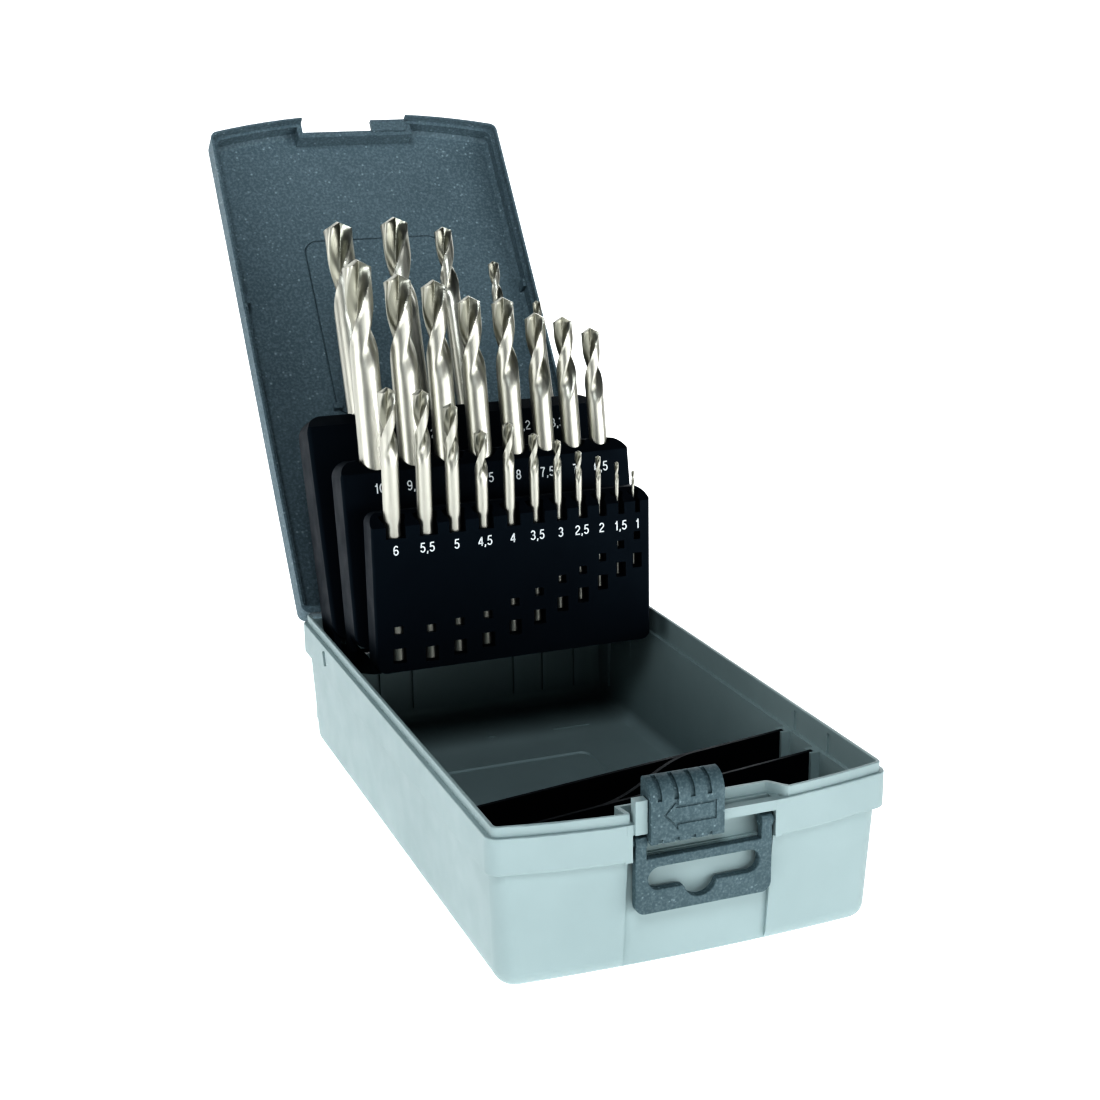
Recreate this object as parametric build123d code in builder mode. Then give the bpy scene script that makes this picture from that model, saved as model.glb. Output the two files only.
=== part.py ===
from build123d import *
import math
import os

os.makedirs("parts", exist_ok=True)

# Drill bit case, millimetres, +Z up, +Y to the hinge side, origin at the
# centre of the base underside. It stands open: lid back, racks raised.

# ---- driving dimensions -------------------------------------------------
CASE_W = 121.0          # width over the base band
LID_W = 120.2           # width over the lid
REAR_Y = 102.0          # outer face of the rear wall
FRONT_Y = -102.0        # front corners, the front wall bows out from here
BOW = 6.9               # how far the front wall bows out at its middle
BAND_Z0, BAND_Z1 = 35.5, 46.4
LEDGE_Z = 41.0
LIP_Z = 49.3
FLOOR_T = 2.5
HINGE_Y, HINGE_Z = 102.0, 48.3
LID_OPEN = 126.0
LID_TOP = 58.4
LID_RIM = 46.7
GAP_X = 21.5            # half width of the gap in the band at the catch
SET_Y = -102.9          # outer face of the wall set back behind the gap
PIV_Y, PIV_Z = 74.7, 40.4
ROD_R = 1.5
LID_RIB_Y, LID_HOOK_Y = -29.0, 17.3


def outline(w, y_front, bow, y_rear, r_front, r_rear):
    """Outline of the case at one height: straight back and sides, bowed front."""
    h = w / 2
    with BuildSketch(mode=Mode.PRIVATE) as s:
        with BuildLine():
            l1 = Line((-h, y_front), (-h, y_rear))
            l2 = Line(l1 @ 1, (h, y_rear))
            l3 = Line(l2 @ 1, (h, y_front))
            ThreePointArc(l3 @ 1, (0, y_front - bow), l1 @ 0)
        make_face()
        low = s.vertices().filter_by(lambda v: v.Y < 0)
        fillet(low, r_front)
        high = s.vertices().filter_by(lambda v: v.Y > y_rear - 0.01)
        fillet(high, r_rear)
    return s.sketch


# ---- base tray ----------------------------------------------------------
outer_low = outline(114.0, -100.4, 1.9, REAR_Y, 6.5, 6.5)
outer_mid = outline(117.2, -100.5, 6.0, REAR_Y, 5.0, 5.0)
band_out = outline(CASE_W, FRONT_Y, BOW, REAR_Y, 4.2, 4.2)
band_in = outline(115.6, -100.2, 6.75, 99.6, 1.3, 1.3)
lip_out = outline(118.0, -101.1, 6.8, 100.7, 2.4, 2.4)
cav_low = outline(110.0, -98.0, 1.8, 99.2, 5.4, 5.4)
cav_top = outline(113.0, -98.2, 5.4, 99.2, 3.0, 3.0)
recess_low = outline(114.0, -99.4, 1.9, REAR_Y, 6.5, 6.5)
recess_mid = outline(117.2, -99.2, 6.0, REAR_Y, 5.0, 5.0)


def jog_wall(a, b, t, curved, n=12):
    """Plan of a thin wall that runs from point a to point b."""
    left, right = [], []
    for i in range(n + 1):
        k = i / n
        ease = k * k * (3 - 2 * k) if curved else k
        x = a[0] + (b[0] - a[0]) * k
        y = a[1] + (b[1] - a[1]) * ease
        rate = 6 * k * (1 - k) if curved else 1.0
        dx, dy = b[0] - a[0], (b[1] - a[1]) * rate
        m = math.hypot(dx, dy)
        left.append((x - dy / m * t / 2, y + dx / m * t / 2))
        right.append((x + dy / m * t / 2, y - dx / m * t / 2))
    return left + right[::-1]


with BuildPart() as band_prism:
    with BuildSketch(Plane.XY.offset(BAND_Z0)):
        add(band_out)
    extrude(amount=BAND_Z1 - BAND_Z0)
    fillet(band_prism.faces().sort_by(Axis.Z)[-1].edges(), 0.35)
    fillet(band_prism.faces().sort_by(Axis.Z)[0].edges(), 0.6)

with BuildPart() as cavity:
    with BuildSketch(Plane.XY.offset(FLOOR_T)):
        add(cav_low)
    with BuildSketch(Plane.XY.offset(LEDGE_Z)):
        add(cav_top)
    loft()
    fillet(cavity.faces().sort_by(Axis.Z)[0].edges(), 4.2)

with BuildPart() as recess_body:
    with BuildSketch(Plane.XY):
        add(recess_low)
    with BuildSketch(Plane.XY.offset(BAND_Z0)):
        add(recess_mid)
    loft()

with BuildPart() as recess_tool:
    with Locations((0, -104, 17.2)):
        Box(44, 14, 36.4)
    add(recess_body.part, mode=Mode.SUBTRACT)

# walls that frame the gap at the catch, kept inside the band's outline
with BuildPart() as gap_walls:
    with Locations((0, SET_Y + 1.2, 40.3)):
        Box(2 * GAP_X + 4.4, 2.4, 12.6)
    for sx in (-1, 1):
        with Locations((sx * (GAP_X + 1.1), -104.4, 41.0)):
            Box(2.2, 8.0, 11.2)
    with Locations((0, -102.15, 34.4)):
        Box(2 * GAP_X + 4.4, 3.5, 2.4)

with BuildPart() as gap_frame_clip:
    with BuildSketch(Plane.XY.offset(30.0)):
        add(outline(CASE_W - 0.02, FRONT_Y, BOW, REAR_Y, 4.2, 4.2))
    extrude(amount=BAND_Z1 - 30.0)

with BuildPart() as gap_frame:
    add(gap_walls.part)
    add(gap_frame_clip.part, mode=Mode.INTERSECT)

with BuildPart() as lip_ring:
    with BuildSketch(Plane.XY.offset(BAND_Z1 - 0.4)):
        add(lip_out)
        add(band_in, mode=Mode.SUBTRACT)
    extrude(amount=LIP_Z - BAND_Z1 + 0.4)
    fillet(lip_ring.faces().sort_by(Axis.Z)[-1].edges(), 0.35)
    with Locations((0, 113.4, 48)):
        Box(140, 30, 8, mode=Mode.SUBTRACT)
    with Locations((1.9, -105, 48)):
        Box(47.8, 14, 8, mode=Mode.SUBTRACT)

# the lip steps back behind the catch: a short slanted wall on the left and
# a smooth S on the right
with BuildPart() as lip_jogs:
    with BuildSketch(Plane.XY.offset(LEDGE_Z)):
        Polygon(*jog_wall((-23.3, -100.9), (-22.5, -106.5), 1.3, False), align=None)
    extrude(amount=LIP_Z - LEDGE_Z)
    with BuildSketch(Plane.XY.offset(LEDGE_Z)):
        Polygon(*jog_wall((21.4, -101.05), (26.4, -106.05), 1.25, True), align=None)
    extrude(amount=LIP_Z - LEDGE_Z)

with BuildPart() as base_tray:
    with BuildSketch(Plane.XY):
        add(outer_low)
    with BuildSketch(Plane.XY.offset(BAND_Z0)):
        add(outer_mid)
    loft()
    fillet(base_tray.faces().sort_by(Axis.Z)[0].edges(), 4.8)
    add(band_prism.part)
    add(recess_tool.part, mode=Mode.SUBTRACT)
    # gap in the band for the catch and hanger
    with Locations((0, -108.9, 42.4)):
        Box(2 * GAP_X, 12.0, 14.0, mode=Mode.SUBTRACT)
    add(cavity.part, mode=Mode.SUBTRACT)
    with BuildSketch(Plane.XY.offset(LEDGE_Z)):
        add(band_in)
    extrude(amount=20, mode=Mode.SUBTRACT)
    add(gap_frame.part)
    # lip that the lid closes over
    add(lip_ring.part)
    add(lip_jogs.part)
    with Locations((-1.0, SET_Y + 2.4 - 0.55, (45.8 + LIP_Z) / 2)):
        Box(45.4, 1.1, LIP_Z - 45.8)
    # rail across the gap that carries the catch slider
    with Locations((0, -106.6, 44.9)):
        Box(2 * GAP_X + 3.0, 2.8, 3.0)
    # stop plate beside the open slider
    with Locations((-19.25, -107.0, 48.3)):
        Box(3.5, 3.2, 9.8)
    with Locations((-19.25, -104.4, 45.4)):
        Box(3.5, 4.0, 2.0)
    # raised panel moulded in the floor
    with BuildSketch(Plane.XY.offset(FLOOR_T - 0.2)):
        RectangleRounded(55, 87.4, 4)
    extrude(amount=0.8)
    with Locations((1.6, 73.0, FLOOR_T + 0.15)):
        Cylinder(1.6, 0.5)
    with Locations((32, 70.0, FLOOR_T + 0.1)):
        Box(14, 0.8, 0.5)
    # ribs up the inside of the rear wall
    for rx in (-45.3, -32, -19.4, 20.6, 32.4, 45.3):
        with Locations((rx, 98.7, 24.2)):
            Box(1.8, 1.4, 33.0)
    for sx in (-1, 1):
        # step in the side walls just ahead of the rear wall
        with Locations((sx * 55.8, 94.0, 24.6)):
            Box(2.6, 11.0, 31.0)
        # bosses that hold the ends of the rack rod
        with Locations((sx * 56.85, PIV_Y, PIV_Z)):
            Cylinder(4.6, 2.2, rotation=(0, 90, 0))
        with Locations((sx * 57.0, PIV_Y, 33.0)):
            Box(2.5, 9.2, 13.0)
        # guides on the side walls for the web insert's plates
        for gy in (sx * 9.62 - 59.2, sx * 9.62 - 77.7):
            with Locations((sx * 55.3, gy, 30.6)):
                Box(3.6, 4.4, 20.7)
    # knuckles for the lid hinge
    for hx in (-30.0, 30.0):
        for kx in (-5.3, 5.3):
            with Locations((hx + kx, HINGE_Y, HINGE_Z)):
                Cylinder(2.0, 5.0, rotation=(0, 90, 0))
            with BuildSketch(Plane.YZ.offset(hx + kx - 2.5)):
                Polygon((101.0, 46.2), (101.2, 47.4), (103.3, 47.3),
                        (103.6, 46.3), (103.6, 45.6), (101.8, 43.4), align=None)
            extrude(amount=5.0)
        # room for the lid's middle knuckle
        with Locations((hx, HINGE_Y, HINGE_Z)):
            Cylinder(2.35, 5.4, rotation=(0, 90, 0), mode=Mode.SUBTRACT)
        with Locations((hx, HINGE_Y, HINGE_Z)):
            Cylinder(1.0, 30.0, rotation=(0, 90, 0), mode=Mode.SUBTRACT)
    for sx in (-1, 1):
        # rod holes and the slots its ends were snapped in through
        with Locations((sx * 57.1, PIV_Y, PIV_Z)):
            Cylinder(ROD_R, 3.2, rotation=(0, 90, 0), mode=Mode.SUBTRACT)
        with Locations((sx * 60.5, 69.7, 41.9)):
            Box(4.0, 3.2, 5.2, rotation=(-18, 0, 0), mode=Mode.SUBTRACT)
        # seats for the web insert's ends
        for gy in (sx * 9.62 - 59.2, sx * 9.62 - 77.7):
            with Locations((sx * 54.1, gy, 36.6)):
                Box(2.2, 1.9, 10.4, mode=Mode.SUBTRACT)
        # hanger pin sockets
        with Locations((sx * (GAP_X + 1.0), -106.2, 40.4)):
            Cylinder(1.06, 3.0, rotation=(0, 90, 0), mode=Mode.SUBTRACT)
    # two marks in the right inner wall
    for my in (-52.6, -73.2):
        with Locations((57.8, my, 44.2)):
            Box(0.9, 2.2, 6.6, mode=Mode.SUBTRACT)
base_tray.part.label = "base_tray"

# ---- lid, drawn closed, then swung open ----------------------------------
lid_out = outline(LID_W, FRONT_Y, BOW, REAR_Y, 3.2, 3.2)
lid_in = outline(115.4, -100.0, 6.75, 99.6, 2.2, 2.2)
lid_rebate = outline(118.4, -101.3, 6.8, 99.2, 2.2, 0.6)

with BuildPart() as lid_hollow:
    with BuildSketch(Plane.XY.offset(LID_RIM)):
        add(lid_in)
    extrude(amount=56.2 - LID_RIM)
    chamfer(lid_hollow.faces().sort_by(Axis.Z)[-1].edges(), 1.6)

with BuildPart() as lid_closed:
    with BuildSketch(Plane.XY.offset(LID_RIM)):
        add(lid_out)
    extrude(amount=LID_TOP - LID_RIM)
    fillet(lid_closed.faces().sort_by(Axis.Z)[-1].edges(), 2.6)
    add(lid_hollow.part, mode=Mode.SUBTRACT)
    # notch in the front, behind it a wall set back in line with the base
    with Locations((0, -109.0, 50.0)):
        Box(2 * GAP_X + 0.6, 12.4, 20.0, mode=Mode.SUBTRACT)
    with Locations((0, -101.6, 52.2)):
        Box(2 * GAP_X + 4.8, 2.4, 10.6)
    for sx in (-1, 1):
        with Locations((sx * (GAP_X + 1.35), -104.0, 53.6)):
            Box(2.1, 7.2, 7.6)
    with Locations((0, -101.65, 57.1)):
        Box(2 * GAP_X + 4.8, 2.3, 2.2)
    # rebate that takes the base's lip
    with BuildSketch(Plane.XY.offset(LID_RIM)):
        add(lid_rebate)
    extrude(amount=3.0, mode=Mode.SUBTRACT)
    # tongue held by the slider
    with Locations((14.1, -104.45, 49.4)):
        Box(14.2, 5.1, 2.0)
    with Locations((14.1, -102.35, 50.6)):
        Box(14.2, 0.9, 4.4)
    # line of the guide panel in the ceiling
    with BuildSketch(Plane.XY.offset(56.0)):
        with Locations((-0.8, -17.7)):
            RectangleRounded(57.6, 77.4, 6)
            RectangleRounded(56.2, 76.0, 5.3, mode=Mode.SUBTRACT)
    extrude(amount=0.8, mode=Mode.SUBTRACT)
    # ribs at the side walls
    for sx in (-1, 1):
        with Locations((sx * 57.2, LID_RIB_Y, 53.2)):
            Box(1.6, 3.4, 5.6)
    # small guide hooks for the rear rack, either side of the ceiling
    for sx in (-1, 1):
        with Locations((sx * 29.4, LID_HOOK_Y, 55.1)):
            Box(3.2, 2.4, 2.4)
    for hx in (-30.0, 30.0):
        with Locations((hx, HINGE_Y, HINGE_Z)):
            Cylinder(2.0, 5.0, rotation=(0, 90, 0))
        with Locations((hx, HINGE_Y - 1.2, HINGE_Z + 0.3)):
            Box(5.0, 2.4, 3.8)
        for kx in (-5.3, 5.3):
            with Locations((hx + kx, HINGE_Y, HINGE_Z)):
                Cylinder(2.35, 5.6, rotation=(0, 90, 0), mode=Mode.SUBTRACT)
        with Locations((hx, HINGE_Y, HINGE_Z)):
            Cylinder(1.06, 30.0, rotation=(0, 90, 0), mode=Mode.SUBTRACT)

hinge_axis = Axis((0, HINGE_Y, HINGE_Z), (1, 0, 0))
with BuildPart() as lid:
    add(lid_closed.part.rotate(hinge_axis, -LID_OPEN))
lid.part.label = "lid"

with BuildPart() as lid_hinge_pins:
    for hx in (-30.0, 30.0):
        with Locations((hx, HINGE_Y, HINGE_Z)):
            Cylinder(1.0, 15.6, rotation=(0, 90, 0))
lid_hinge_pins.part.label = "lid_hinge_pins"

with BuildPart() as rack_hinge_rod:
    with Locations((0, PIV_Y, PIV_Z)):
        Cylinder(ROD_R, 117.0, rotation=(0, 90, 0))
rack_hinge_rod.part.label = "rack_hinge_rod"

# ---- racks ----------------------------------------------------------------
# Local frame of a rack: X across, Z (u) up from the rod, -Y (w) to the front.


def rack_place(lean):
    return Location((0, PIV_Y, PIV_Z), (-lean, 0, 0))


def silhouette(width, z0, z1, r):
    """Round the upper corners of a rack as seen from the front."""
    with BuildSketch(Plane.XZ.offset(-40), mode=Mode.PRIVATE) as s:
        with Locations((0, (z0 + z1) / 2)):
            Rectangle(width, z1 - z0)
        fillet(s.vertices().group_by(Axis.Z)[-1], r)
    add(extrude(s.sketch, amount=90, mode=Mode.PRIVATE), mode=Mode.INTERSECT)


FRONT_LEAN, MID_LEAN, REAR_LEAN = 1.0, 10.6, 20.0

# diameter, x, pocket floor, overall length, flute length
FRONT_BITS = [
    (6.0, -41.6, 6.6, 93.0, 26.0), (5.5, -30.2, 6.0, 92.0, 25.5),
    (5.0, -20.2, 7.0, 85.5, 23.5), (4.5, -10.0, 8.2, 74.5, 19.0),
    (4.0, -0.2, 11.4, 73.0, 17.0), (3.5, 8.8, 14.0, 66.0, 15.5),
    (3.0, 17.3, 17.5, 59.5, 14.0), (2.5, 25.0, 19.8, 52.7, 12.0),
    (2.0, 32.3, 23.5, 46.5, 10.0), (1.5, 39.2, 27.3, 40.0, 8.0),
    (1.0, 45.3, 30.0, 33.5, 6.0)]
MID_BITS = [
    (10.0, -39.4, 5.6, 131.0, 38.0), (9.5, -25.6, 6.0, 125.0, 35.0),
    (9.0, -12.9, 5.6, 122.6, 35.0), (8.5, -0.6, 5.6, 116.4, 33.0),
    (8.0, 11.8, 5.6, 115.2, 33.0), (7.5, 23.4, 5.6, 109.0, 31.0),
    (7.0, 33.8, 5.6, 107.0, 31.0), (6.5, 44.0, 7.0, 101.0, 28.0)]
REAR_BITS = [
    (10.5, -32.5, 23.8, 133.0, 40.0), (10.2, -11.2, 24.6, 133.0, 40.0),
    (6.8, 7.2, 44.0, 109.0, 31.0), (4.2, 25.2, 64.0, 75.0, 20.0),
    (3.3, 40.2, 58.0, 65.0, 16.5)]
HOLE_GAP = 0.3

# front rack: slab 9.5 thick, 26.3 ahead of the rod
with BuildPart() as front_local:
    with BuildSketch(Plane.YZ.offset(-49.9)):
        Polygon((-26.3, 3.5), (-26.3, 57.5), (-29.6, 57.5), (-35.8, 53.6),
                (-35.8, 3.5), align=None)
    extrude(amount=99.8)
    fillet(front_local.edges().filter_by(Axis.Z).filter_by(
        lambda e: e.center().Y < -35), 1.1)
    fillet(front_local.edges().filter_by(Axis.X).sort_by(Axis.Z)[-1], 0.8)
    silhouette(99.8, 3.5, 57.5, 3.6)
    for sx in (-1, 1):
        with BuildSketch(Plane.YZ.offset(sx * 48.4 - 1.2)):
            with BuildLine():
                CenterArc((0, 0), 4.0, 270, 90)
                Polyline((4.0, 0), (4.0, 3.2), (-24.5, 3.2), (-26.6, 9.0),
                         (-31.0, 9.0), (-31.0, 2.2), (-9.0, -4.0), (0, -4.0))
            make_face()
        extrude(amount=2.4)
    with Locations((0, 0, 0)):
        Cylinder(ROD_R + 0.06, 114, rotation=(0, 90, 0), mode=Mode.SUBTRACT)
    for d, x, floor, length, flute in FRONT_BITS:
        r = d / 2 + HOLE_GAP
        with Locations((x, -31.8, floor)):
            Cylinder(r, 60.0, align=(Align.CENTER, Align.CENTER, Align.MIN),
                     mode=Mode.SUBTRACT)
        # mouth scooped out through the top front edge
        with Locations((x, -31.8, 50.6)):
            Cone(r, r + 1.2, 6.0, align=(Align.CENTER, Align.CENTER, Align.MIN),
                 mode=Mode.SUBTRACT)
        with Locations((x, -34.6, 49.6)):
            Box(2 * r + 0.1, 5.6, 10.0,
                align=(Align.CENTER, Align.CENTER, Align.MIN), mode=Mode.SUBTRACT)
        # sight windows: one at the shank end, a smaller one above it
        w1 = min(4.6, 3.0 + 0.35 * d)
        with Locations((x - 0.3, -34.0, floor + 2.5)):
            Box(w1, 5.0, 5.2, mode=Mode.SUBTRACT)
        with Locations((x - 0.3, -34.0, floor + 11.4)):
            Box(w1 * 0.72, 5.0, 2.8, mode=Mode.SUBTRACT)

with BuildPart() as rack_front:
    add(front_local.part.moved(rack_place(FRONT_LEAN)))
rack_front.part.label = "rack_front"

# middle rack: slab 13.5 thick
MID_W = 8.27 + 7.3
with BuildPart() as mid_local:
    with BuildSketch(Plane.YZ.offset(-52.8)):
        Polygon((-8.27, 4.2), (-8.27, 68.4), (-17.0, 68.4), (-21.77, 64.2),
                (-21.77, 4.2), align=None)
    extrude(amount=105.6)
    fillet(mid_local.edges().filter_by(Axis.Z).filter_by(
        lambda e: e.center().Y < -21), 1.2)
    silhouette(105.6, 4.2, 68.4, 5.5)
    for sx in (-1, 1):
        with BuildSketch(Plane.YZ.offset(sx * 51.75 - 1.05)):
            with BuildLine():
                CenterArc((0, 0), 4.0, 270, 90)
                Polyline((4.0, 0), (4.0, 3.6), (-7.4, 3.6), (-8.6, 9.0),
                         (-14.0, 9.0), (-14.0, 3.0), (-8.6, -4.0), (0, -4.0))
            make_face()
        extrude(amount=2.1)
    with Locations((0, 0, 0)):
        Cylinder(ROD_R + 0.06, 114, rotation=(0, 90, 0), mode=Mode.SUBTRACT)
    for d, x, floor, length, flute in MID_BITS:
        r = d / 2 + HOLE_GAP
        with Locations((x, -MID_W, floor)):
            Cylinder(r, 70.0, align=(Align.CENTER, Align.CENTER, Align.MIN),
                     mode=Mode.SUBTRACT)
        with Locations((x, -MID_W, 63.8)):
            Cone(r, r + 1.0, 4.8, align=(Align.CENTER, Align.CENTER, Align.MIN),
                 mode=Mode.SUBTRACT)

with BuildPart() as rack_middle:
    add(mid_local.part.moved(rack_place(MID_LEAN)))
rack_middle.part.label = "rack_middle"

# rear rack: slab 15.5 thick, the rod runs through its foot
REAR_W = -6.45
with BuildPart() as rear_local:
    with BuildSketch(Plane.YZ.offset(-55.2)):
        Polygon((13.15, 5.0), (13.15, 85.6), (2.6, 85.6), (-2.35, 81.4),
                (-2.35, 5.0), align=None)
    extrude(amount=110.4)
    fillet(rear_local.edges().filter_by(Axis.Z).filter_by(
        lambda e: e.center().Y < -2), 1.4)
    silhouette(110.4, 5.0, 85.6, 6.5)
    for sx in (-1, 1):
        with BuildSketch(Plane.YZ.offset(sx * 54.2 - 1.0)):
            with BuildLine():
                CenterArc((0, 0), 4.0, 180, 180)
                Polyline((4.0, 0), (9.0, 5.6), (9.0, 12.0), (0.6, 12.0),
                         (-2.2, 5.4), (-4.0, 0))
            make_face()
        extrude(amount=2.0)
    with Locations((0, 0, 0)):
        Cylinder(ROD_R + 0.06, 114, rotation=(0, 90, 0), mode=Mode.SUBTRACT)
    for d, x, floor, length, flute in REAR_BITS:
        r = d / 2 + HOLE_GAP
        with Locations((x, -REAR_W, floor)):
            Cylinder(r, 70.0, align=(Align.CENTER, Align.CENTER, Align.MIN),
                     mode=Mode.SUBTRACT)
        with Locations((x, -REAR_W, 81.2)):
            Cone(r, r + 0.9, 4.6, align=(Align.CENTER, Align.CENTER, Align.MIN),
                 mode=Mode.SUBTRACT)

with BuildPart() as rack_rear:
    add(rear_local.part.moved(rack_place(REAR_LEAN)))
rack_rear.part.label = "rack_rear"

# ---- drill bits -------------------------------------------------------------
# Shank, plain fluted length and a 118 degree point, standing in their pockets.


def drill(d, x, w, floor, length):
    r = d / 2
    point = r / math.tan(math.radians(59))
    cham = min(0.6, 0.12 * d)
    with BuildPart() as b:
        with BuildSketch(Plane.XZ):
            with BuildLine():
                Polyline((0, 0), (r - cham, 0), (r, cham), (r, length - point),
                         (0, length), (0, 0))
            make_face()
        revolve(axis=Axis.Z)
    return b.part.moved(Location((x, -w, floor + 0.02)))


drills = []
for bits, w, lean in ((FRONT_BITS, 31.8, FRONT_LEAN), (MID_BITS, MID_W, MID_LEAN),
                      (REAR_BITS, REAR_W, REAR_LEAN)):
    for d, x, floor, length, flute in bits:
        name = "drill_" + ("%.1f" % d).replace(".", "_")
        body = drill(d, x, w, floor, length).moved(rack_place(lean))
        drills.append((name, body))

# ---- web insert behind the front wall ----------------------------------------
SLOPE = 9.7 / 54.5
WEB_T = 1.2


def web_points(n=24):
    """Outline of the S shaped web that joins the two slanted plates."""
    left, right = [], []
    for i in range(n + 1):
        t = i / n
        x = -21.0 + 43.0 * t
        ease = t * t * (3 - 2 * t)
        y = -77.7 + SLOPE * x + 18.5 * ease
        slope = SLOPE + 18.5 * 6 * t * (1 - t) / 43.0
        k = math.hypot(1, slope)
        nx, ny = -slope / k * WEB_T / 2, 1 / k * WEB_T / 2
        left.append((x + nx, y + ny))
        right.append((x - nx, y - ny))
    return left + right[::-1]


with BuildPart() as front_insert:
    for y0 in (-59.2, -77.7):
        with BuildSketch(Plane.XY.offset(31.5)):
            Polygon((-54.9, y0 - 54.9 * SLOPE - 0.6), (54.9, y0 + 54.9 * SLOPE - 0.6),
                    (54.9, y0 + 54.9 * SLOPE + 0.6), (-54.9, y0 - 54.9 * SLOPE + 0.6),
                    align=None)
        extrude(amount=9.4)
    with BuildSketch(Plane.XY.offset(31.5)):
        Polygon(*web_points(), align=None)
    extrude(amount=9.4)
front_insert.part.label = "front_insert"

# ---- slide latch ---------------------------------------------------------------
LX0, LX1 = -17.2, 4.6
CAP_R = 5.6
with BuildPart() as latch_slider:
    with BuildSketch(Plane.YZ.offset(LX0)):
        Polygon((-110.2, 40.6), (-110.2, 58.4), (-103.2, 58.4), (-103.2, 50.7),
                (-108.3, 50.7), (-108.3, 48.1), (-105.5, 48.1), (-105.5, 46.7),
                (-108.3, 46.7), (-108.3, 43.1), (-104.9, 43.1), (-104.9, 45.5),
                (-103.6, 45.5), (-103.6, 41.0), (-108.3, 41.0), (-108.3, 40.6),
                align=None)
    extrude(amount=LX1 - LX0)
    top = latch_slider.edges().filter_by(Axis.X).filter_by(lambda e: e.center().Z > 58)
    fillet(top.sort_by(Axis.Y)[0], CAP_R)
    fillet(latch_slider.edges().filter_by(Axis.X).filter_by(
        lambda e: e.center().Z > 58).sort_by(Axis.Y)[-1], 1.1)
    # curved grip grooves over the rounded cap
    for gx in (-14.6, -9.7, -4.8, 0.1):
        with BuildSketch(Plane.YZ.offset(gx - 0.65)):
            with Locations((-110.2 + CAP_R, 58.4 - CAP_R)):
                Circle(CAP_R + 1.5)
                Circle(CAP_R - 0.75, mode=Mode.SUBTRACT)
            with Locations((-110.2 + CAP_R + 10, 52.0), (-106.0, 58.4 - CAP_R - 10)):
                Rectangle(20, 20, mode=Mode.SUBTRACT)
        extrude(amount=1.3, mode=Mode.SUBTRACT)
        # notch at the lower edge
        with Locations((gx + 0.2, -110.2, 40.8)):
            Box(1.4, 1.0, 1.8, mode=Mode.SUBTRACT)
    # outline of an arrow that points the way to slide it open
    with BuildSketch(Plane.XZ.offset(109.85)):
        Polygon((-13.6, 48.6), (-9.2, 53.2), (-9.2, 50.9), (2.2, 50.9), (2.2, 45.4),
                (-9.2, 45.4), (-9.2, 43.8), align=None)
        Polygon((-12.7, 48.6), (-9.9, 51.6), (-9.9, 50.2), (1.5, 50.2), (1.5, 46.1),
                (-9.9, 46.1), (-9.9, 45.4), align=None, mode=Mode.SUBTRACT)
    extrude(amount=1.0, mode=Mode.SUBTRACT)
latch_slider.part.label = "latch_slider"

# ---- hanger ----------------------------------------------------------------------
HNG_Y, HNG_Z = -106.2, 40.4
HNG_TOP = 42.2
with BuildSketch(mode=Mode.PRIVATE) as hanging_slot:
    with Locations((0, 29.35)):
        SlotOverall(33.6, 6.7)
    with Locations((-1.2, 26.9)):
        Circle(5.0)
    fillet(hanging_slot.vertices().filter_by(
        lambda v: abs(v.Y - 26.0) < 0.02 and abs(v.X + 1.2) < 6), 1.2)

with BuildPart() as hanger:
    with BuildSketch(Plane.XZ.offset(105.4)) as plate:
        with Locations((0, (19.2 + HNG_TOP) / 2)):
            Rectangle(41.2, HNG_TOP - 19.2)
        fillet(plate.vertices().group_by(Axis.Y)[0], 3.0)
        fillet(plate.vertices().group_by(Axis.Y)[-1], 2.2)
        with Locations((0, (35.5 + 50.0) / 2)):
            Rectangle(34.6, 50.0 - 35.5, mode=Mode.SUBTRACT)
        add(hanging_slot.sketch, mode=Mode.SUBTRACT)
    extrude(amount=2.4)
    front = hanger.faces().sort_by(Axis.Y)[0]
    fillet(front.edges(), 0.35)
    for sx in (-1, 1):
        with Locations((sx * 18.95, HNG_Y, HNG_Z)):
            Cylinder(2.0, 3.3, rotation=(0, 90, 0))
        with Locations((sx * 21.5, HNG_Y, HNG_Z)):
            Cylinder(1.0, 2.6, rotation=(0, 90, 0))
hanger.part.label = "hanger"

export_step(base_tray.part, "parts/base_tray.step")
export_step(lid.part, "parts/lid.step")
export_step(lid_hinge_pins.part, "parts/lid_hinge_pins.step")
export_step(rack_hinge_rod.part, "parts/rack_hinge_rod.step")
export_step(rack_front.part, "parts/rack_front.step")
export_step(rack_middle.part, "parts/rack_middle.step")
export_step(rack_rear.part, "parts/rack_rear.step")
export_step(front_insert.part, "parts/front_insert.step")
export_step(latch_slider.part, "parts/latch_slider.step")
export_step(hanger.part, "parts/hanger.step")
for name, body in drills:
    body.label = name
    export_step(body, "parts/" + name + ".step")
print("nodes", 10 + len(drills))
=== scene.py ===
import math

import bmesh
import bpy
from mathutils import Matrix, Vector


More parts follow.
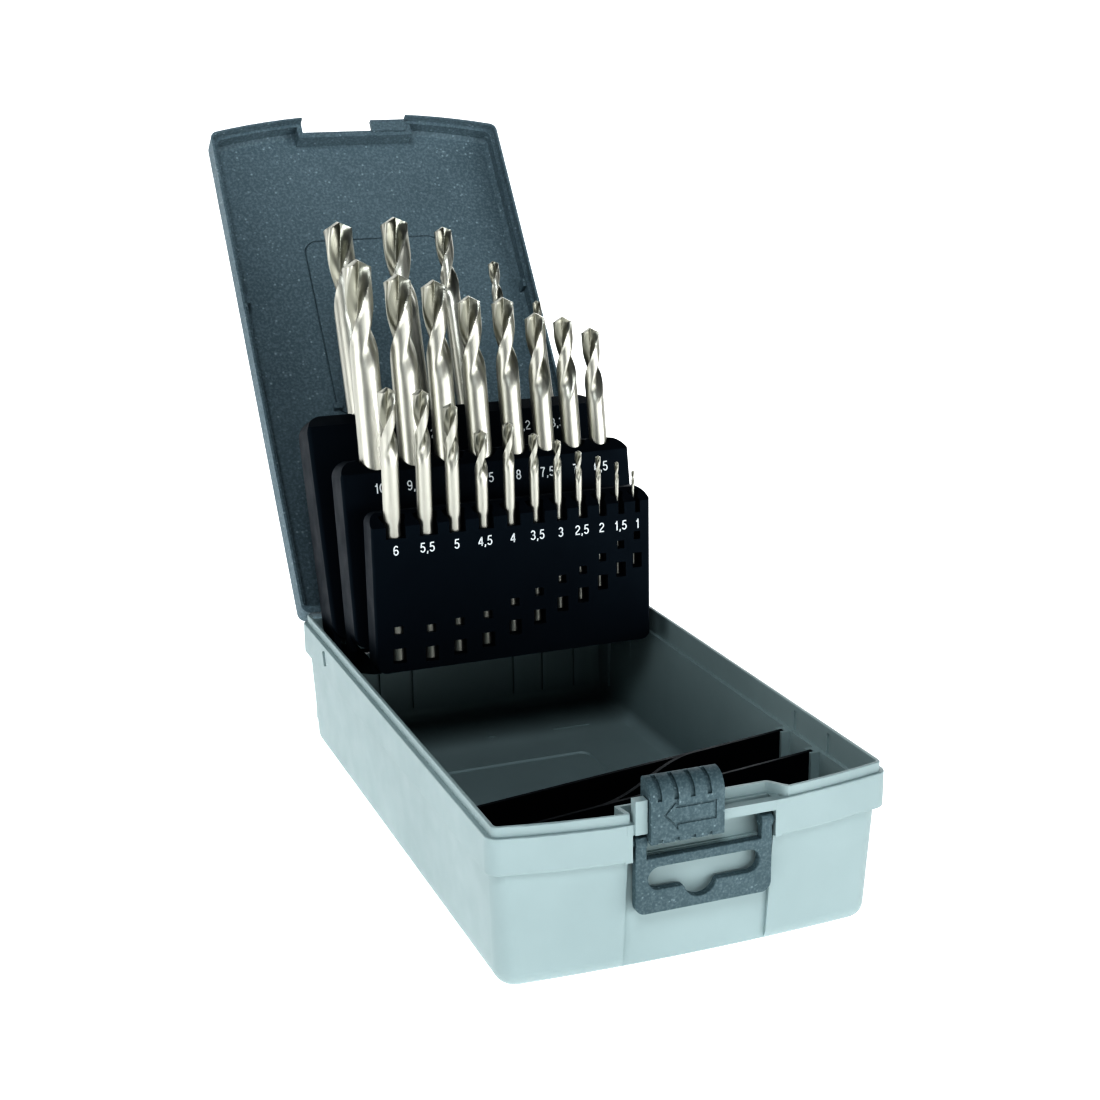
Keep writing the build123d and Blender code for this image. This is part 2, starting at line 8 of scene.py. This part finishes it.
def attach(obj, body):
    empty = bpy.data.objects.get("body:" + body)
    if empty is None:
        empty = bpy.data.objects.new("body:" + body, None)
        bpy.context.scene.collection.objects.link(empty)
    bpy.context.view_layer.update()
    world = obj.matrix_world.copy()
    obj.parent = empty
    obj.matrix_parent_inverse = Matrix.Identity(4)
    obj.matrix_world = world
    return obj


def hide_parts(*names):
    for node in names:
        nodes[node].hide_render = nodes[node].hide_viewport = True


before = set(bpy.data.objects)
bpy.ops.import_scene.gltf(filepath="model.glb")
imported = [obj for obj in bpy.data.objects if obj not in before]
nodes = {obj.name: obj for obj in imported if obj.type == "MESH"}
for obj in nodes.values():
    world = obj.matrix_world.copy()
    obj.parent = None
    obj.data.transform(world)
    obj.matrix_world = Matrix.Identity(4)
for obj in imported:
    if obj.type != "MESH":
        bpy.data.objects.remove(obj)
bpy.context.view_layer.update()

# ------------------------------------------------------------------ helpers


def lin(r, g, b):
    """sRGB 0..255 to linear."""
    out = []
    for c in (r, g, b):
        c = c / 255.0
        out.append(c / 12.92 if c <= 0.04045 else ((c + 0.055) / 1.055) ** 2.4)
    return tuple(out) + (1.0,)


def new_mat(name):
    m = bpy.data.materials.new(name)
    m.use_nodes = True
    nt = m.node_tree
    bsdf = nt.nodes.get("Principled BSDF")
    return m, nt, bsdf


def node(nt, kind, **values):
    n = nt.nodes.new(kind)
    for key, value in values.items():
        if key in n.inputs:
            n.inputs[key].default_value = value
        else:
            setattr(n, key, value)
    return n


def ramp(nt, fac, stops):
    n = nt.nodes.new("ShaderNodeValToRGB")
    els = n.color_ramp.elements
    els[0].position, els[0].color = stops[0]
    els[1].position, els[1].color = stops[-1]
    for pos, col in stops[1:-1]:
        e = els.new(pos)
        e.color = col
    nt.links.new(fac, n.inputs["Fac"])
    return n


def grey(v):
    return (v, v, v, 1.0)


def coords(nt, scale=(1, 1, 1)):
    tc = nt.nodes.new("ShaderNodeTexCoord")
    mp = nt.nodes.new("ShaderNodeMapping")
    mp.inputs["Scale"].default_value = scale
    nt.links.new(tc.outputs["Object"], mp.inputs["Vector"])
    return mp.outputs["Vector"]


def noise(nt, vec, scale, detail=2.0, rough=0.5):
    n = nt.nodes.new("ShaderNodeTexNoise")
    n.inputs["Scale"].default_value = scale
    n.inputs["Detail"].default_value = detail
    n.inputs["Roughness"].default_value = rough
    nt.links.new(vec, n.inputs["Vector"])
    return n.outputs["Fac"]


def mix_rgb(nt, fac, a, b):
    n = nt.nodes.new("ShaderNodeMix")
    n.data_type = "RGBA"
    n.clamp_factor = True
    if isinstance(fac, float):
        n.inputs["Factor"].default_value = fac
    else:
        nt.links.new(fac, n.inputs["Factor"])
    for sock, val in (("A", a), ("B", b)):
        target = [s for s in n.inputs if s.name == sock and s.type == "RGBA"][0]
        if isinstance(val, tuple):
            target.default_value = val
        else:
            nt.links.new(val, target)
    return [s for s in n.outputs if s.type == "RGBA"][0]


def moulded(name, dark, light, rough, grain, grain_size, speck=None, speck_amount=0.0,
            speck_size=900.0, cloud=22.0, spec=0.5, ior=1.5, tint=(1.0, 1.0, 1.0, 1.0)):
    """Moulded plastic: slow colour drift, spark-eroded grain, optional pale specks."""
    m, nt, b = new_mat(name)
    vec = coords(nt)
    drift = ramp(nt, noise(nt, vec, cloud, 3.0, 0.6), [(0.36, dark), (0.66, light)])
    colour = drift.outputs["Color"]
    if speck is not None:
        vor = nt.nodes.new("ShaderNodeTexVoronoi")
        vor.inputs["Scale"].default_value = speck_size
        nt.links.new(vec, vor.inputs["Vector"])
        dot = ramp(nt, vor.outputs["Distance"], [(0.10, grey(1)), (0.34, grey(0))])
        gate = ramp(nt, noise(nt, vec, speck_size * 0.45, 1.0, 0.5),
                    [(0.52, grey(0)), (0.66, grey(1))])
        mul = nt.nodes.new("ShaderNodeMath")
        mul.operation = "MULTIPLY"
        nt.links.new(dot.outputs["Color"], mul.inputs[0])
        nt.links.new(gate.outputs["Color"], mul.inputs[1])
        amt = nt.nodes.new("ShaderNodeMath")
        amt.operation = "MULTIPLY"
        amt.inputs[1].default_value = speck_amount
        nt.links.new(mul.outputs[0], amt.inputs[0])
        colour = mix_rgb(nt, amt.outputs[0], colour, speck)
        fine = ramp(nt, noise(nt, vec, speck_size * 1.7, 2.0, 0.6),
                    [(0.42, grey(0)), (0.72, grey(1))])
        amt2 = nt.nodes.new("ShaderNodeMath")
        amt2.operation = "MULTIPLY"
        amt2.inputs[1].default_value = speck_amount * 0.35
        nt.links.new(fine.outputs["Color"], amt2.inputs[0])
        colour = mix_rgb(nt, amt2.outputs[0], colour, speck)
    nt.links.new(colour, b.inputs["Base Color"])
    r = ramp(nt, noise(nt, vec, cloud * 5.0, 2.0, 0.5),
             [(0.3, grey(max(rough - 0.05, 0.02))), (0.7, grey(rough + 0.06))])
    nt.links.new(r.outputs["Color"], b.inputs["Roughness"])
    bump = nt.nodes.new("ShaderNodeBump")
    bump.inputs["Strength"].default_value = grain
    bump.inputs["Distance"].default_value = 0.0001
    nt.links.new(noise(nt, vec, grain_size, 3.0, 0.65), bump.inputs["Height"])
    nt.links.new(bump.outputs["Normal"], b.inputs["Normal"])
    b.inputs["Specular IOR Level"].default_value = spec
    b.inputs["IOR"].default_value = ior
    b.inputs["Specular Tint"].default_value = tint
    return m


mat_tray = moulded("tray_plastic", lin(154, 169, 170), lin(159, 174, 175), 0.5, 0.08, 2600.0,
                   spec=0.3)
mat_lid = moulded("lid_plastic", lin(98, 114, 121), lin(105, 121, 128), 0.6, 0.35, 1500.0,
                  speck=lin(178, 194, 199), speck_amount=0.6, speck_size=560.0, spec=0.2)
mat_grey = moulded("grey_plastic", lin(80, 97, 102), lin(88, 105, 110), 0.58, 0.5, 1700.0,
                   speck=lin(156, 172, 176), speck_amount=0.6, speck_size=760.0, spec=0.3)
mat_rack = moulded("rack_plastic", lin(14, 21, 29), lin(18, 26, 34), 0.5, 0.12, 2400.0,
                   spec=0.5, ior=1.28, tint=(0.62, 0.84, 1.0, 1.0))
mat_insert = moulded("insert_plastic", lin(6, 10, 16), lin(9, 14, 21), 0.5, 0.10, 2400.0,
                     spec=0.35, ior=1.3, tint=(0.62, 0.84, 1.0, 1.0))


def steel(name, bright, streak_and_shade_colour, rough, streak, metal=1.0):
    """Ground steel: fine grinding streaks, and painted shade that darkens the flutes."""
    m, nt, b = new_mat(name)
    b.inputs["Metallic"].default_value = metal
    vec = coords(nt, (1.0, 1.0, streak))
    # painted shade: the flute mask pulls the steel towards the darker second colour inside the flutes
    flute_shade_attr = nt.nodes.new("ShaderNodeAttribute")
    flute_shade_attr.attribute_name = "flute"
    base = mix_rgb(nt, flute_shade_attr.outputs["Fac"], bright, streak_and_shade_colour)
    streaks = ramp(nt, noise(nt, vec, 1100.0, 3.0, 0.6),
                   [(0.35, grey(0)), (0.68, grey(1))])
    half = nt.nodes.new("ShaderNodeMath")
    half.operation = "MULTIPLY"
    half.inputs[1].default_value = 0.18
    nt.links.new(streaks.outputs["Color"], half.inputs[0])
    colour = mix_rgb(nt, half.outputs[0], base, streak_and_shade_colour)
    nt.links.new(colour, b.inputs["Base Color"])
    r = ramp(nt, noise(nt, vec, 700.0, 2.0, 0.6),
             [(0.3, grey(rough * 0.9)), (0.7, grey(rough * 1.12))])
    nt.links.new(r.outputs["Color"], b.inputs["Roughness"])
    bump = nt.nodes.new("ShaderNodeBump")
    bump.inputs["Strength"].default_value = 0.05
    bump.inputs["Distance"].default_value = 0.00005
    nt.links.new(noise(nt, vec, 1800.0, 2.0, 0.5), bump.inputs["Height"])
    nt.links.new(bump.outputs["Normal"], b.inputs["Normal"])
    return m


# the second colour serves both the grinding streaks and the painted shade in the flutes
mat_drill = steel("drill_steel", lin(192, 192, 184), lin(146, 146, 136), 0.36, 0.1, 0.94)
mat_pin = steel("steel_pin", lin(200, 200, 200), lin(150, 150, 150), 0.3, 0.2)

m_print, nt_p, b_p = new_mat("print_white")
v_p = coords(nt_p)
c_p = ramp(nt_p, noise(nt_p, v_p, 2500.0, 2.0, 0.6), [(0.3, lin(214, 220, 222)), (0.6, lin(238, 242, 243))])
nt_p.links.new(c_p.outputs["Color"], b_p.inputs["Base Color"])
b_p.inputs["Roughness"].default_value = 0.55


def assign(obj, mat):
    obj.data.materials.clear()
    obj.data.materials.append(mat)


for name, mat in (("base_tray", mat_tray), ("lid", mat_lid), ("latch_slider", mat_grey),
                  ("hanger", mat_grey), ("rack_front", mat_rack), ("rack_middle", mat_rack),
                  ("rack_rear", mat_rack), ("front_insert", mat_insert),
                  ("lid_hinge_pins", mat_pin), ("rack_hinge_rod", mat_pin)):
    assign(nodes[name], mat)

# ------------------------------------------------------------------ racks
PIV_Y, PIV_Z = 74.7, 40.4
LEAN = {"front_rack": 1.0, "middle_rack": 10.6, "rear_rack": 20.0}
BITS = {
    "front_rack": (31.8, [
        (6.0, -41.6, 6.6, 93.0, 26.0), (5.5, -30.2, 6.0, 92.0, 25.5),
        (5.0, -20.2, 7.0, 85.5, 23.5), (4.5, -10.0, 8.2, 74.5, 19.0),
        (4.0, -0.2, 11.4, 73.0, 17.0), (3.5, 8.8, 14.0, 66.0, 15.5),
        (3.0, 17.3, 17.5, 59.5, 14.0), (2.5, 25.0, 19.8, 52.7, 12.0),
        (2.0, 32.3, 23.5, 46.5, 10.0), (1.5, 39.2, 27.3, 40.0, 8.0),
        (1.0, 45.3, 30.0, 33.5, 6.0)]),
    "middle_rack": (15.57, [
        (10.0, -39.4, 5.6, 131.0, 38.0), (9.5, -25.6, 6.0, 125.0, 35.0),
        (9.0, -12.9, 5.6, 122.6, 35.0), (8.5, -0.6, 5.6, 116.4, 33.0),
        (8.0, 11.8, 5.6, 115.2, 33.0), (7.5, 23.4, 5.6, 109.0, 31.0),
        (7.0, 33.8, 5.6, 107.0, 31.0), (6.5, 44.0, 7.0, 101.0, 28.0)]),
    "rear_rack": (-6.45, [
        (10.5, -32.5, 23.8, 133.0, 40.0), (10.2, -11.2, 24.6, 133.0, 40.0),
        (6.8, 7.2, 44.0, 109.0, 31.0), (4.2, 25.2, 64.0, 75.0, 20.0),
        (3.3, 40.2, 58.0, 65.0, 16.5)]),
}


def rack_matrix(body, x, w, u):
    """Frame of a rack at a point: X across, Y up along the rack, Z out of its front."""
    t = math.radians(LEAN[body])
    s, c = math.sin(t), math.cos(t)
    pos = Vector((x, PIV_Y + u * s - w * c, PIV_Z + u * c + w * s)) / 1000.0
    m = Matrix(((1, 0, 0), (0, s, -c), (0, c, s))).to_4x4()
    m.translation = pos
    return m


def smoothstep(t):
    t = max(0.0, min(1.0, t))
    return t * t * (3 - 2 * t)


def flute_profile(phi):
    """Radius share and flute share of a two-fluted drill's section at angle phi; the flute share later
    darkens the steel as painted shade in the flutes.
    """
    p = (phi % math.pi) / math.pi           # one of the two identical halves
    land = 0.40
    margin = 0.055
    if p < margin:                          # margin: full diameter
        return 1.0, 0.0
    if p < margin + 0.02:
        return 1.0 - 0.045 * (p - margin) / 0.02, 0.1
    if p < land:                            # body clearance behind the margin
        return 0.955, 0.15
    q = (p - land) / (1.0 - land)           # flute, deepest past its middle
    if q < 0.10:
        k = q / 0.10
        return 0.955 - 0.10 * k, 0.4
    if q > 0.93:                            # steep cutting face up to the margin
        k = (q - 0.93) / 0.07
        return 0.62 + 0.38 * k, 0.8
    k = (q - 0.10) / 0.83
    depth = 0.855 - 0.62 * math.sin(math.pi * min(k / 1.24, 1.0)) ** 0.75
    return max(depth, 0.235), 1.0


def drill_mesh(name, d, length, flute, turn):
    """A jobber twist drill standing on its shank, in metres, Z along its axis."""
    r0 = d / 2.0
    seg = 72 if d > 3 else 48
    cone = 1.0 / math.tan(math.radians(59))
    lead = 6.3 * d
    top = length - r0 * cone
    run0 = length - flute                   # flutes fade out above the shank
    step = max(0.30, d * 0.085)
    zs = [0.0, min(0.6, 0.12 * d)]
    z = zs[-1]
    while z < run0 - step * 3:
        z += max(step * 3, 2.0)
        if z < run0 - step:
            zs.append(z)
        else:
            break
    z = run0 - step
    zs.append(z)
    while z + step < top:
        z += step
        zs.append(z)
    if top - zs[-1] > 0.3 * step:
        zs.append(top)
    else:
        zs[-1] = top

    verts, faces, flute_shade_mask = [], [], []

    def radius(phi, z):
        depth = smoothstep((z - run0) / (2.2 * d))
        if depth <= 0.0:
            return r0 * 0.985, 0.0
        share, f = flute_profile(phi - 2 * math.pi * z / lead + turn)
        return r0 * (0.985 + (share - 0.985) * depth), f * depth

    cham = min(0.6, 0.12 * d)
    for i, z in enumerate(zs):
        for s in range(seg):
            phi = 2 * math.pi * s / seg
            if i == 0:
                r, f = (r0 - cham) * 0.985, 0.0
            else:
                r, f = radius(phi, z)
            verts.append((r * math.cos(phi), r * math.sin(phi), z))
            flute_shade_mask.append(f)
    # rings of the ground point, on a 118 degree cone
    for share in (1.0, 0.66, 0.33, 0.12):
        for s in range(seg):
            phi = 2 * math.pi * s / seg
            r, f = radius(phi, top)
            zz = length - r * share * cone
            verts.append((r * share * math.cos(phi), r * share * math.sin(phi), zz))
            flute_shade_mask.append(f * (1 if share == 1.0 else 0))
    rings = len(zs) + 4
    for i in range(rings - 1):
        a, b = i * seg, (i + 1) * seg
        for s in range(seg):
            n = (s + 1) % seg
            faces.append((a + s, a + n, b + n, b + s))
    tip = len(verts)
    verts.append((0, 0, length - 0.015 * d))
    flute_shade_mask.append(0.0)
    last = (rings - 1) * seg
    for s in range(seg):
        faces.append((last + s, last + (s + 1) % seg, tip))
    foot = len(verts)
    verts.append((0, 0, 0))
    flute_shade_mask.append(0.0)
    for s in range(seg):
        faces.append((foot, (s + 1) % seg, s))

    me = bpy.data.meshes.new(name)
    me.from_pydata([(x / 1000, y / 1000, z / 1000) for x, y, z in verts], [], faces)
    me.validate()
    # flute mask for the painted shade: the steel is drawn darker inside the flutes
    flute_shade_attr = me.attributes.new("flute", "FLOAT", "POINT")
    flute_shade_attr.data.foreach_set("value", flute_shade_mask)
    bm = bmesh.new()
    bm.from_mesh(me)
    bmesh.ops.remove_doubles(bm, verts=bm.verts, dist=2e-7)
    bm.to_mesh(me)
    bm.free()
    for p in me.polygons:
        p.use_smooth = True
    me.set_sharp_from_angle(angle=math.radians(32))
    return me


jitter = [0.12, -0.2, 0.05, 0.25, -0.1, 0.18, -0.28, 0.0, 0.3, -0.15, 0.08]
FACING = math.radians(249.4)                # the flute by each tip faces this way
for body, (w, bits) in BITS.items():
    for k, (d, x, floor, length, flute) in enumerate(bits):
        tag = ("%.1f" % d).replace(".", "_")
        tip_z = length - d / 2.0 / math.tan(math.radians(59))
        turn = 0.72 * math.pi - FACING + 2 * math.pi * tip_z / (6.3 * d) + jitter[(k * 3 + 1) % 11]
        turn -= 0.42
        me = drill_mesh("twist_" + tag, d, length, flute, turn)
        ob = bpy.data.objects.new("twist_" + tag, me)
        bpy.context.scene.collection.objects.link(ob)
        m = rack_matrix(body, x, w, floor + 0.02)
        # mesh Z runs along the rack's up direction
        ob.matrix_world = m @ Matrix.Rotation(math.radians(-90), 4, "X")
        me.materials.append(mat_drill)
        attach(ob, "twist_drill_" + tag)
        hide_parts("drill_" + tag)

# ------------------------------------------------------------------ size numbers
FACE_W = {"front_rack": 35.8, "middle_rack": 21.77, "rear_rack": 2.35}
NUMBERS = {
    "front_rack": (45.6, 3.4, [("6", -41.8), ("5,5", -30.9), ("5", -20.6), ("4,5", -10.6),
                                ("4", -0.7), ("3,5", 8.2), ("3", 16.7), ("2,5", 24.5),
                                ("2", 31.8), ("1,5", 38.9), ("1", 45.2)]),
    "middle_rack": (58.7, 3.5, [("10", -39.7), ("9,5", -27.4), ("9", -14.0), ("8,5", -1.2),
                                ("8", 10.6), ("7,5", 21.4), ("7", 32.0), ("6,5", 41.8)]),
    "rear_rack": (75.2, 3.5, [("10,5", -33.0), ("10,2", -12.0), ("6,8", 7.0), ("4,2", 25.4),
                              ("3,3", 38.6)]),
}


def arc(cx, cy, rx, ry, a0, a1, n=18):
    return [(cx + rx * math.cos(math.radians(a0 + (a1 - a0) * i / n)),
             cy + ry * math.sin(math.radians(a0 + (a1 - a0) * i / n))) for i in range(n + 1)]


# centre lines of plain sans-serif figures, height 1, with their widths
GLYPHS = {
    "0": (0.56, [arc(0.28, 0.5, 0.21, 0.43, 90, 450, 32)]),
    "1": (0.42, [[(0.06, 0.72), (0.17, 0.76), (0.25, 0.86), (0.27, 1.0)], [(0.27, 0.9), (0.27, 0.0)]]),
    "2": (0.56, [arc(0.27, 0.70, 0.20, 0.23, 175, -35, 20) + [(0.10, 0.22), (0.07, 0.065)],
                 [(0.01, 0.065), (0.52, 0.065)]]),
    "3": (0.56, [arc(0.26, 0.715, 0.18, 0.22, 165, -90, 20)[:-1] + [(0.20, 0.50)],
                 [(0.20, 0.50)] + arc(0.26, 0.285, 0.21, 0.22, 85, -165, 20)]),
    "4": (0.56, [[(0.40, 0.0), (0.40, 0.93)], [(0.40, 0.93), (0.06, 0.30)], [(0.0, 0.27), (0.54, 0.27)]]),
    "5": (0.56, [[(0.49, 0.935), (0.14, 0.935)], [(0.14, 0.97), (0.09, 0.47)],
                 arc(0.26, 0.33, 0.21, 0.265, 140, -160, 22)]),
    "6": (0.56, [arc(0.29, 0.63, 0.20, 0.30, 35, 90, 8) + arc(0.29, 0.50, 0.22, 0.43, 90, 200, 14),
                 arc(0.28, 0.31, 0.20, 0.245, 90, 450, 28)]),
    "7": (0.56, [[(0.03, 0.935), (0.50, 0.935)], [(0.48, 0.93), (0.34, 0.68), (0.25, 0.40), (0.21, 0.0)]]),
    "8": (0.56, [arc(0.28, 0.72, 0.17, 0.21, 90, 450, 28), arc(0.28, 0.285, 0.20, 0.225, 90, 450, 28)]),
    "9": (0.56, [arc(0.27, 0.37, 0.20, 0.30, 215, 270, 8) + arc(0.27, 0.50, 0.22, 0.43, 270, 380, 14),
                 arc(0.28, 0.69, 0.20, 0.245, 90, 450, 28)]),
    ",": (0.24, [[(0.12, 0.13), (0.12, 0.0)], [(0.12, 0.0), (0.07, -0.15)]]),
}
PEN = 0.142


def number_mesh(name, text, height):
    """Printed figures: each stroke is a thin raised ribbon, centred on the text."""
    verts, faces = [], []
    gap = 0.075
    total = sum(GLYPHS[c][0] for c in text) + gap * (len(text) - 1)
    x0, thick, h = -total / 2, 0.035, PEN / 2
    for c in text:
        w, strokes = GLYPHS[c]
        for line in strokes:
            pts = [Vector((x0 + x, y - 0.5)) for x, y in line]
            n = len(pts)
            ring = (pts[0] - pts[-1]).length < 1e-6
            base = len(verts)
            for i, p in enumerate(pts):
                a = pts[i - 1] if i else (pts[-2] if ring else p)
                b = pts[i + 1] if i < n - 1 else (pts[1] if ring else p)
                d1 = (p - a).normalized() if (p - a).length > 1e-9 else (b - p).normalized()
                d2 = (b - p).normalized() if (b - p).length > 1e-9 else d1
                t = (d1 + d2).normalized()
                m = h / max(t.dot(d1), 0.5)
                side = Vector((-t.y, t.x)) * m
                for q in (p + side, p - side):
                    for z in (0.0, thick):
                        verts.append((q.x * height, q.y * height, z))
            for i in range(n - 1):
                k = base + 4 * i
                faces += [(k + 1, k + 3, k + 7, k + 5), (k, k + 4, k + 6, k + 2),
                          (k, k + 1, k + 5, k + 4), (k + 2, k + 6, k + 7, k + 3)]
            if not ring:
                k = base
                faces.append((k, k + 2, k + 3, k + 1))
                k = base + 4 * (n - 1)
                faces.append((k, k + 1, k + 3, k + 2))
        x0 += w + gap
    me = bpy.data.meshes.new(name)
    me.from_pydata([(x / 1000, y / 1000, z / 1000) for x, y, z in verts], [], faces)
    me.validate()
    bm = bmesh.new()
    bm.from_mesh(me)
    bmesh.ops.remove_doubles(bm, verts=bm.verts, dist=2e-7)
    bmesh.ops.recalc_face_normals(bm, faces=bm.faces)
    bm.to_mesh(me)
    bm.free()
    return me


for body, (u, height, items) in NUMBERS.items():
    for text, x in items:
        name = "num_" + body[:3] + "_" + text.replace(",", "_")
        me = number_mesh(name, text, height)
        ob = bpy.data.objects.new(name, me)
        bpy.context.scene.collection.objects.link(ob)
        ob.matrix_world = rack_matrix(body, x, FACE_W[body] + 0.03, u)
        me.materials.append(m_print)
        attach(ob, body)

# ------------------------------------------------------------------ bead round the floor panel


def rounded_loop(w, h, rad, n=8):
    out = []
    for cx, cy, a0 in ((w / 2 - rad, h / 2 - rad, 0), (-w / 2 + rad, h / 2 - rad, 90),
                       (-w / 2 + rad, -h / 2 + rad, 180), (w / 2 - rad, -h / 2 + rad, 270)):
        out += arc(cx, cy, rad, rad, a0, a0 + 90, n)
    return out


bead_verts, bead_faces = [], []
for w, h, rad, z in ((56.2, 88.6, 4.6, 2.45), (55.7, 88.1, 4.35, 3.7), (55.0, 87.4, 4.0, 3.75),
                     (53.9, 86.3, 3.4, 3.05)):
    for x, y in rounded_loop(w, h, rad):
        bead_verts.append((x / 1000, y / 1000, z / 1000))
loop_n = len(bead_verts) // 4
for ring in range(4):
    nxt = (ring + 1) % 4
    for i in range(loop_n):
        j = (i + 1) % loop_n
        bead_faces.append((ring * loop_n + i, ring * loop_n + j, nxt * loop_n + j, nxt * loop_n + i))
me = bpy.data.meshes.new("tray_floor_bead")
me.from_pydata(bead_verts, [], bead_faces)
me.validate()
bm = bmesh.new()
bm.from_mesh(me)
bmesh.ops.recalc_face_normals(bm, faces=bm.faces)
bm.to_mesh(me)
bm.free()
me.materials.append(mat_tray)
bead = bpy.data.objects.new("tray_floor_bead", me)
bpy.context.scene.collection.objects.link(bead)
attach(bead, "base")

# ------------------------------------------------------------------ stage
floor_mat, nt_f, b_f = new_mat("floor_white")
v_f = coords(nt_f)
c_f = ramp(nt_f, noise(nt_f, v_f, 3.0, 2.0, 0.5), [(0.3, grey(0.78)), (0.7, grey(0.80))])
nt_f.links.new(c_f.outputs["Color"], b_f.inputs["Base Color"])
b_f.inputs["Emission Color"].default_value = (1.0, 1.0, 1.0, 1.0)
b_f.inputs["Emission Strength"].default_value = 0.62
b_f.inputs["Roughness"].default_value = 0.9
b_f.inputs["Specular IOR Level"].default_value = 0.1

profile = [(-6.0, 0.0)]
R = 1.2
for i in range(17):
    a = math.pi / 2 * i / 16
    profile.append((2.2 + R * math.sin(a), R - R * math.cos(a)))
profile.append((2.2 + R, 5.0))
me = bpy.data.meshes.new("floor")
vs, fs = [], []
for y, z in profile:
    vs += [(-7.0, y, z - 0.0002), (7.0, y, z - 0.0002)]
for i in range(len(profile) - 1):
    fs.append((2 * i, 2 * i + 1, 2 * i + 3, 2 * i + 2))
me.from_pydata(vs, [], fs)
for p in me.polygons:
    p.use_smooth = True
me.materials.append(floor_mat)
floor = bpy.data.objects.new("floor", me)
bpy.context.scene.collection.objects.link(floor)

# ------------------------------------------------------------------ lights
world = bpy.data.worlds.new("studio")
bpy.context.scene.world = world
world.use_nodes = True
wt = world.node_tree
bg = wt.nodes["Background"]
bg.inputs["Color"].default_value = (0.72, 0.88, 1.0, 1.0)
bg.inputs["Strength"].default_value = 0.045
# a plain white backdrop behind the floor's far edge, which lights nothing
backdrop = wt.nodes.new("ShaderNodeBackground")
backdrop.inputs["Color"].default_value = (1.0, 1.0, 1.0, 1.0)
backdrop.inputs["Strength"].default_value = 1.3
seen = wt.nodes.new("ShaderNodeLightPath")
either = wt.nodes.new("ShaderNodeMixShader")
wt.links.new(seen.outputs["Is Camera Ray"], either.inputs["Fac"])
wt.links.new(bg.outputs["Background"], either.inputs[1])
wt.links.new(backdrop.outputs["Background"], either.inputs[2])
wt.links.new(either.outputs["Shader"], wt.nodes["World Output"].inputs["Surface"])


def area(name, pos, target, size, power, colour=(1, 1, 1)):
    li = bpy.data.lights.new(name, "AREA")
    li.shape = "RECTANGLE"
    li.size, li.size_y = size
    li.energy = power
    li.color = colour
    ob = bpy.data.objects.new(name, li)
    bpy.context.scene.collection.objects.link(ob)
    ob.location = pos
    d = Vector(target) - Vector(pos)
    ob.rotation_euler = d.to_track_quat("-Z", "Y").to_euler()
    return ob


area("left", (-1.7, -0.45, 0.34), (0, 0, 0.08), (1.5, 0.62), 6.4)
area("front", (0.35, -1.9, 0.32), (0, 0, 0.1), (1.3, 0.5), 5.5)
area("right", (1.4, -1.4, 0.3), (0, 0, 0.08), (1.2, 0.5), 8.0)
area("rear", (0.9, 1.5, 0.6), (0, 0, 0.08), (1.2, 0.6), 4.0)
area("top", (-0.6, -1.3, 1.5), (0, -0.02, 0.1), (0.6, 0.6), 11.0, (0.93, 0.97, 1.0))

# ------------------------------------------------------------------ camera
az, el, roll = math.radians(21.05), math.radians(-15.71), math.radians(-0.72)
fwd = Vector((math.sin(az) * math.cos(el), math.cos(az) * math.cos(el), math.sin(el)))
right = fwd.cross(Vector((0, 0, 1))).normalized()
up = right.cross(fwd).normalized()
r2 = right * math.cos(roll) + up * math.sin(roll)
u2 = -right * math.sin(roll) + up * math.cos(roll)
cam_data = bpy.data.cameras.new("camera")
cam_data.sensor_width = 36.0
cam_data.lens = 1814.7 / 1100.0 * 36.0
cam_data.clip_start = 0.02
cam_data.clip_end = 50.0
cam = bpy.data.objects.new("camera", cam_data)
bpy.context.scene.collection.objects.link(cam)
rot = Matrix((r2, u2, -fwd)).transposed()
cam.matrix_world = Matrix.Translation((-0.2014, -0.5164, 0.2483)) @ rot.to_4x4()
bpy.context.scene.camera = cam
bpy.context.scene.view_settings.view_transform = "Standard"
bpy.context.scene.view_settings.look = "Very High Contrast"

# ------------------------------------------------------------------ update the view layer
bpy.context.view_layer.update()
